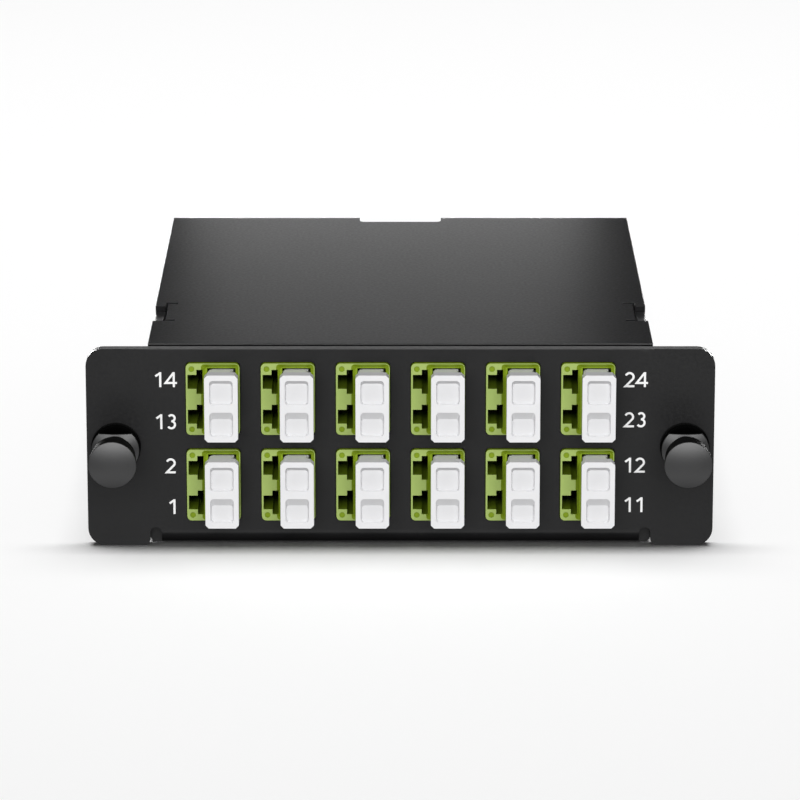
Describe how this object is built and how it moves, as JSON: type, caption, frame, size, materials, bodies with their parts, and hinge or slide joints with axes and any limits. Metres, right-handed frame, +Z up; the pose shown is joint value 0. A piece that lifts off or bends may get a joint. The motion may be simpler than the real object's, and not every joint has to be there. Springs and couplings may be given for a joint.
{
  "type": "fibre optic patching cassette",
  "caption": "Black sheet-metal fibre patching cassette with rows of capped duplex ports on its front panel and a push-pull latch at each end.",
  "frame": {"origin": "centre of the bounding box on the surface the cassette stands on", "axes": "+Z up, -Y the front panel's side with the ports, +X to the right seen from the front"},
  "size_m": [0.109, 0.1316, 0.0357],
  "materials": {
    "powder_coat": "satin",
    "black_screw": "satin",
    "spring_steel": "satin",
    "black_nylon": "satin",
    "black_plastic": "matte",
    "black_rubber": "matte",
    "aqua_plastic": "satin",
    "aqua_cord": "matte",
    "lime_plastic": "satin",
    "white_plastic": "satin",
    "inner_plug_plastic": "satin"
  },
  "bodies": {
    "cassette": {"tray": "powder_coat", "lid": "powder_coat", "lid_screws": "black_screw", "adapter_01": "lime_plastic", "adapter_02": "lime_plastic", "adapter_03": "lime_plastic", "adapter_04": "lime_plastic", "adapter_05": "lime_plastic", "adapter_06": "lime_plastic", "adapter_07": "lime_plastic", "adapter_08": "lime_plastic", "adapter_09": "lime_plastic", "adapter_10": "lime_plastic", "adapter_11": "lime_plastic", "adapter_12": "lime_plastic", "adapter_clips": "spring_steel", "inner_connector_01": "inner_plug_plastic", "inner_connector_02": "inner_plug_plastic", "inner_connector_03": "inner_plug_plastic", "inner_connector_04": "inner_plug_plastic", "inner_connector_05": "inner_plug_plastic", "inner_connector_06": "inner_plug_plastic", "inner_connector_07": "inner_plug_plastic", "inner_connector_08": "inner_plug_plastic", "inner_connector_09": "inner_plug_plastic", "inner_connector_10": "inner_plug_plastic", "inner_connector_11": "inner_plug_plastic", "inner_connector_12": "inner_plug_plastic", "latch_grommet_left": "black_nylon", "latch_grommet_right": "black_nylon", "rear_adapter": "black_plastic", "rear_adapter_clip": "spring_steel", "trunk_connector": "aqua_plastic", "trunk_boot": "black_rubber", "trunk_cord": "aqua_cord", "fan_out": "black_plastic"},
    "latch_left": {"latch_plunger_left": "black_nylon"},
    "latch_right": {"latch_plunger_right": "black_nylon"},
    "cap_01": {"dust_cap_01": "white_plastic"},
    "cap_02": {"dust_cap_02": "white_plastic"},
    "cap_03": {"dust_cap_03": "white_plastic"},
    "cap_04": {"dust_cap_04": "white_plastic"},
    "cap_05": {"dust_cap_05": "white_plastic"},
    "cap_06": {"dust_cap_06": "white_plastic"},
    "cap_07": {"dust_cap_07": "white_plastic"},
    "cap_08": {"dust_cap_08": "white_plastic"},
    "cap_09": {"dust_cap_09": "white_plastic"},
    "cap_10": {"dust_cap_10": "white_plastic"},
    "cap_11": {"dust_cap_11": "white_plastic"},
    "cap_12": {"dust_cap_12": "white_plastic"},
    "rear_cap": {"rear_dust_cap": "black_rubber"}
  },
  "joints": [
    {"name": "latch_left_pull", "type": "slide", "parent": "cassette", "child": "latch_left", "axis": [0, -1, 0], "range_m": [0, 0.004]},
    {"name": "latch_right_pull", "type": "slide", "parent": "cassette", "child": "latch_right", "axis": [0, -1, 0], "range_m": [0, 0.004]},
    {"name": "cap_01_pull", "type": "slide", "parent": "cassette", "child": "cap_01", "axis": [0, -1, 0], "range_m": [0, 0.01]},
    {"name": "cap_02_pull", "type": "slide", "parent": "cassette", "child": "cap_02", "axis": [0, -1, 0], "range_m": [0, 0.01]},
    {"name": "cap_03_pull", "type": "slide", "parent": "cassette", "child": "cap_03", "axis": [0, -1, 0], "range_m": [0, 0.01]},
    {"name": "cap_04_pull", "type": "slide", "parent": "cassette", "child": "cap_04", "axis": [0, -1, 0], "range_m": [0, 0.01]},
    {"name": "cap_05_pull", "type": "slide", "parent": "cassette", "child": "cap_05", "axis": [0, -1, 0], "range_m": [0, 0.01]},
    {"name": "cap_06_pull", "type": "slide", "parent": "cassette", "child": "cap_06", "axis": [0, -1, 0], "range_m": [0, 0.01]},
    {"name": "cap_07_pull", "type": "slide", "parent": "cassette", "child": "cap_07", "axis": [0, -1, 0], "range_m": [0, 0.01]},
    {"name": "cap_08_pull", "type": "slide", "parent": "cassette", "child": "cap_08", "axis": [0, -1, 0], "range_m": [0, 0.01]},
    {"name": "cap_09_pull", "type": "slide", "parent": "cassette", "child": "cap_09", "axis": [0, -1, 0], "range_m": [0, 0.01]},
    {"name": "cap_10_pull", "type": "slide", "parent": "cassette", "child": "cap_10", "axis": [0, -1, 0], "range_m": [0, 0.01]},
    {"name": "cap_11_pull", "type": "slide", "parent": "cassette", "child": "cap_11", "axis": [0, -1, 0], "range_m": [0, 0.01]},
    {"name": "cap_12_pull", "type": "slide", "parent": "cassette", "child": "cap_12", "axis": [0, -1, 0], "range_m": [0, 0.01]},
    {"name": "rear_cap_pull", "type": "slide", "parent": "cassette", "child": "rear_cap", "axis": [0, 1, 0], "range_m": [0, 0.01]}
  ]
}
